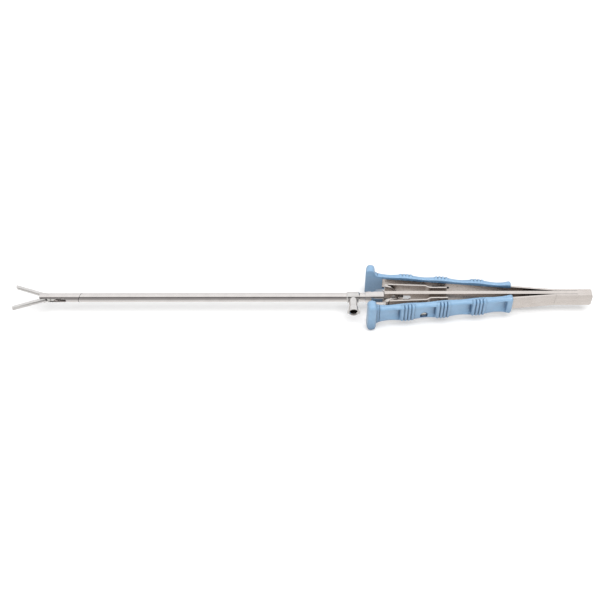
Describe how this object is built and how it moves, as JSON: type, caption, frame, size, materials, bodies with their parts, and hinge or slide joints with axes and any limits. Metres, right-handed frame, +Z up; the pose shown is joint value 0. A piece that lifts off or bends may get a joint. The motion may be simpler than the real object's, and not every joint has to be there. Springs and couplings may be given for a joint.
{
  "type": "debakey forceps",
  "caption": "Long-shafted grasping forceps with fine-toothed double-action jaws, a flushing port and a squeezed leaf-spring handle with ribbed blue grips.",
  "frame": {"origin": "on the supporting surface, below the middle of the whole length, on the shaft's line", "axes": "+X along the shaft towards the tail of the handle, jaws at -X; the handle is squeezed and the jaws open along Y; +Z up from the surface that the finger stops lie on"},
  "size_m": [0.3598, 0.0362, 0.0226],
  "materials": {
    "shaft_steel": "polished",
    "port_chrome": "mirror polished",
    "spring_steel": "satin",
    "jaw_steel": "satin",
    "grip_blue": "satin moulded silicone",
    "screw_steel": "polished",
    "seal_rubber": "matte"
  },
  "bodies": {
    "shaft": {"jaw_fork": "shaft_steel", "jaw_pivot_pin": "shaft_steel", "shaft_tube": "shaft_steel", "port_ring": "port_chrome", "luer_port": "port_chrome", "rod_seal": "seal_rubber", "handle_hub": "shaft_steel", "centre_bar": "spring_steel", "right_arm_root": "spring_steel", "left_arm_root": "spring_steel"},
    "draw_rod": {"pull_rod": "shaft_steel", "rod_cross_pin": "shaft_steel", "slider": "shaft_steel", "slider_pins": "shaft_steel"},
    "right_arm": {"right_spring_arm": "spring_steel", "right_grip": "grip_blue", "right_grip_screw": "screw_steel", "right_leaf_post": "spring_steel", "right_inner_leaf": "spring_steel", "right_link_pin": "screw_steel"},
    "right_link": {"right_handle_link": "spring_steel"},
    "right_jaw": {"right_jaw": "jaw_steel", "right_knee_pin": "screw_steel"},
    "right_knee": {"right_knee_link": "jaw_steel"},
    "left_arm": {"left_spring_arm": "spring_steel", "left_grip": "grip_blue", "left_grip_screw": "screw_steel", "left_leaf_post": "spring_steel", "left_inner_leaf": "spring_steel", "left_link_pin": "screw_steel"},
    "left_link": {"left_handle_link": "spring_steel"},
    "left_jaw": {"left_jaw": "jaw_steel", "left_knee_pin": "screw_steel"},
    "left_knee": {"left_knee_link": "jaw_steel"}
  },
  "joints": [
    {"name": "squeeze", "type": "hinge", "parent": "shaft", "child": "right_arm", "pos_m": [0.15682, 0.00198, 0.0113], "axis": [0, 0, 1], "range_deg": [0, 1.37], "stiffness_Nm_per_rad": 7},
    {"name": "left_squeeze", "type": "hinge", "parent": "shaft", "child": "left_arm", "pos_m": [0.15682, -0.00198, 0.0113], "axis": [0, 0, -1], "range_deg": [0, 1.37], "stiffness_Nm_per_rad": 7},
    {"name": "draw", "type": "slide", "parent": "shaft", "child": "draw_rod", "axis": [1, 0, 0], "range_m": [0, 0.0008695]},
    {"name": "right_link_turn", "type": "hinge", "parent": "right_arm", "child": "right_link", "pos_m": [0.05222, 0.0061, 0.0113], "axis": [0, 0, 1], "range_deg": [0, 13.69]},
    {"name": "right_jaw_close", "type": "hinge", "parent": "shaft", "child": "right_jaw", "pos_m": [-0.15858, 0, 0.0113], "axis": [0, 0, 1], "range_deg": [0, 20]},
    {"name": "right_knee_turn", "type": "hinge", "parent": "right_jaw", "child": "right_knee", "pos_m": [-0.15576, -0.0019, 0.0113], "axis": [0, 0, -1], "range_deg": [0, 36.26]},
    {"name": "left_link_turn", "type": "hinge", "parent": "left_arm", "child": "left_link", "pos_m": [0.05222, -0.0061, 0.0113], "axis": [0, 0, -1], "range_deg": [0, 13.69]},
    {"name": "left_jaw_close", "type": "hinge", "parent": "shaft", "child": "left_jaw", "pos_m": [-0.15858, 0, 0.0113], "axis": [0, 0, -1], "range_deg": [0, 20]},
    {"name": "left_knee_turn", "type": "hinge", "parent": "left_jaw", "child": "left_knee", "pos_m": [-0.15576, 0.0019, 0.0113], "axis": [0, 0, 1], "range_deg": [0, 36.26]}
  ],
  "couplings": [
    {"joint": "left_squeeze", "follows": "squeeze", "ratio": 1},
    {"joint": "draw", "follows": "squeeze", "m_per_rad": 0.036337},
    {"joint": "right_link_turn", "follows": "squeeze", "ratio": 9.9869},
    {"joint": "right_jaw_close", "follows": "squeeze", "ratio": 14.59},
    {"joint": "right_knee_turn", "follows": "squeeze", "ratio": 26.451},
    {"joint": "left_link_turn", "follows": "squeeze", "ratio": 9.9869},
    {"joint": "left_jaw_close", "follows": "squeeze", "ratio": 14.59},
    {"joint": "left_knee_turn", "follows": "squeeze", "ratio": 26.451}
  ]
}
